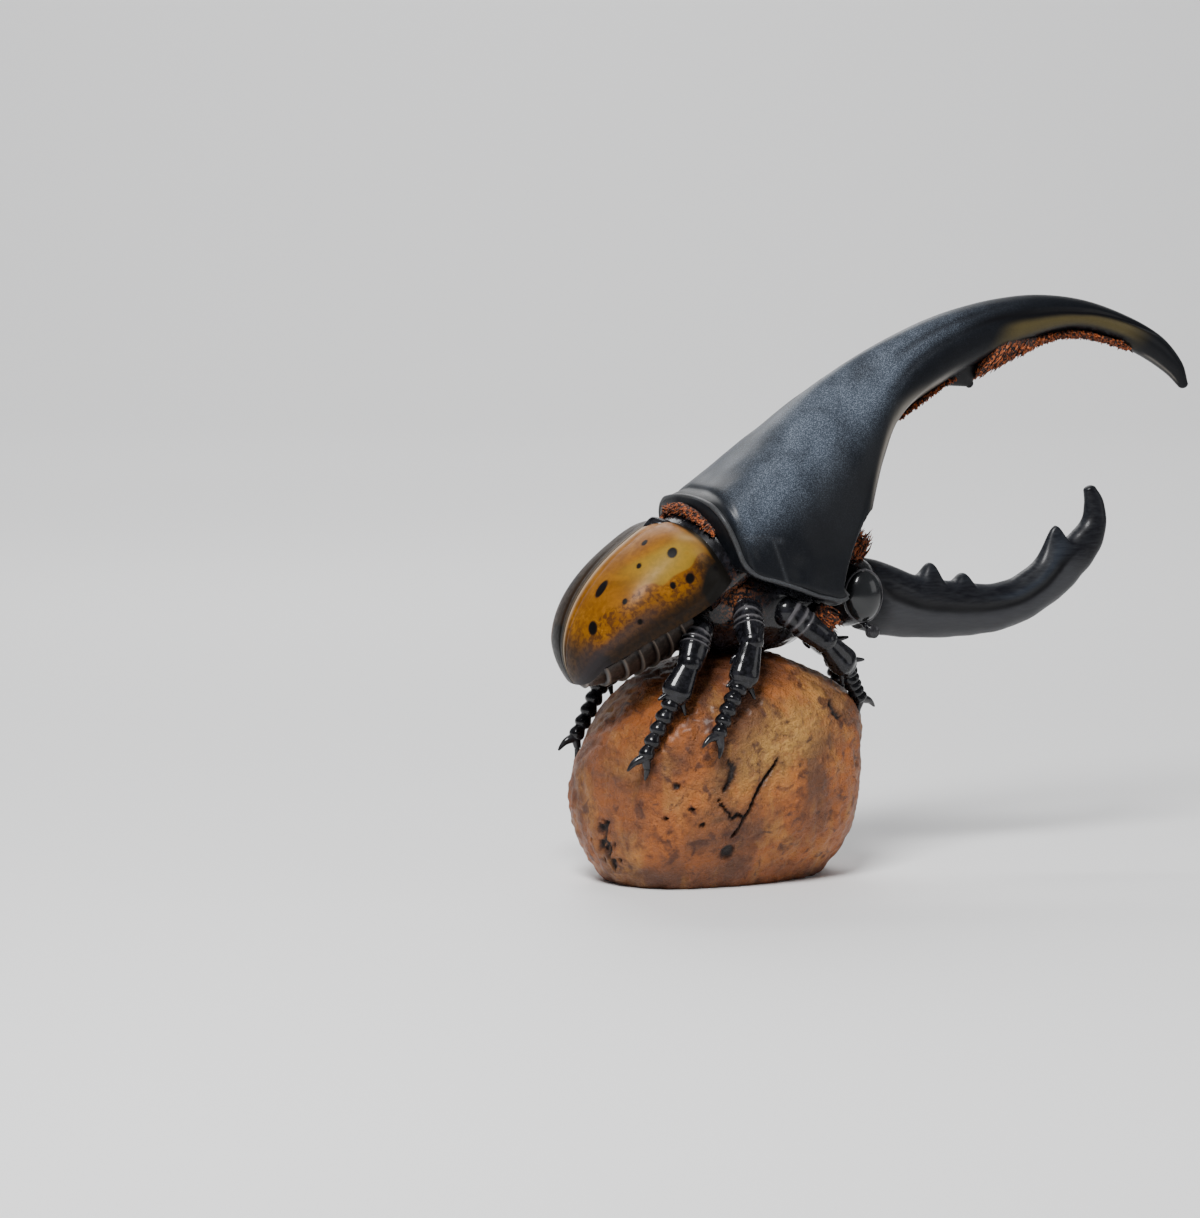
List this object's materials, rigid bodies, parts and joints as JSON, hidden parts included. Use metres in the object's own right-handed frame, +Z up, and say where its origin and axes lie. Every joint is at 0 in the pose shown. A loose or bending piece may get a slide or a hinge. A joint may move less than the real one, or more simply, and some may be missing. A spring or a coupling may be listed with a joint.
{
  "type": "hercules beetle figurine on a boulder base",
  "caption": "Painted cast model of a hercules beetle with long upper and lower horns, climbing over a rounded boulder base with a flat underside.",
  "frame": {"origin": "centre of the boulder's flat underside, on the surface that the model stands on", "axes": "+X is the beetle's heading, tail to horns; +Y is its left side; +Z is up"},
  "size_m": [0.1574, 0.0518, 0.1262],
  "materials": {
    "painted_rock": "mottled orange-brown paint on cast resin, satin, with dark cracks",
    "amber_wing_case": "amber and olive paint with black spots under gloss varnish",
    "blue_black_horn": "blue-black pearly paint, semi-gloss",
    "black_shell": "glossy black paint",
    "brown_belly": "dark grey-brown paint, semi-gloss",
    "rust_bristle": "sculpted bristles painted rust orange over black",
    "eye_gloss": "black gloss"
  },
  "bodies": {
    "root": {"abdomen": "brown_belly", "antenna_left": "black_shell", "antenna_right": "black_shell", "base_rock": "painted_rock", "chest_tuft_left": "rust_bristle", "chest_tuft_right": "rust_bristle", "elytron_left": "amber_wing_case", "elytron_right": "amber_wing_case", "eye_left": "eye_gloss", "eye_right": "eye_gloss", "head": "black_shell", "head_horn_hook": "blue_black_horn", "head_horn_shaft": "blue_black_horn", "horn_brush_front": "rust_bristle", "horn_brush_rear": "rust_bristle", "leg_front_left_femur": "black_shell", "leg_front_left_tarsus": "black_shell", "leg_front_left_tibia": "black_shell", "leg_front_right_femur": "black_shell", "leg_front_right_tarsus": "black_shell", "leg_front_right_tibia": "black_shell", "leg_hind_left_femur": "black_shell", "leg_hind_left_tarsus": "black_shell", "leg_hind_left_tibia": "black_shell", "leg_hind_right_femur": "black_shell", "leg_hind_right_tarsus": "black_shell", "leg_hind_right_tibia": "black_shell", "leg_middle_left_femur": "black_shell", "leg_middle_left_tarsus": "black_shell", "leg_middle_left_tibia": "black_shell", "leg_middle_right_femur": "black_shell", "leg_middle_right_tarsus": "black_shell", "leg_middle_right_tibia": "black_shell", "pronotum": "blue_black_horn", "rim_fringe": "rust_bristle", "scutellum": "black_shell", "thoracic_horn_shaft": "blue_black_horn", "thoracic_horn_tip": "blue_black_horn", "thorax": "black_shell", "throat_tuft": "rust_bristle"}
  },
  "joints": []
}
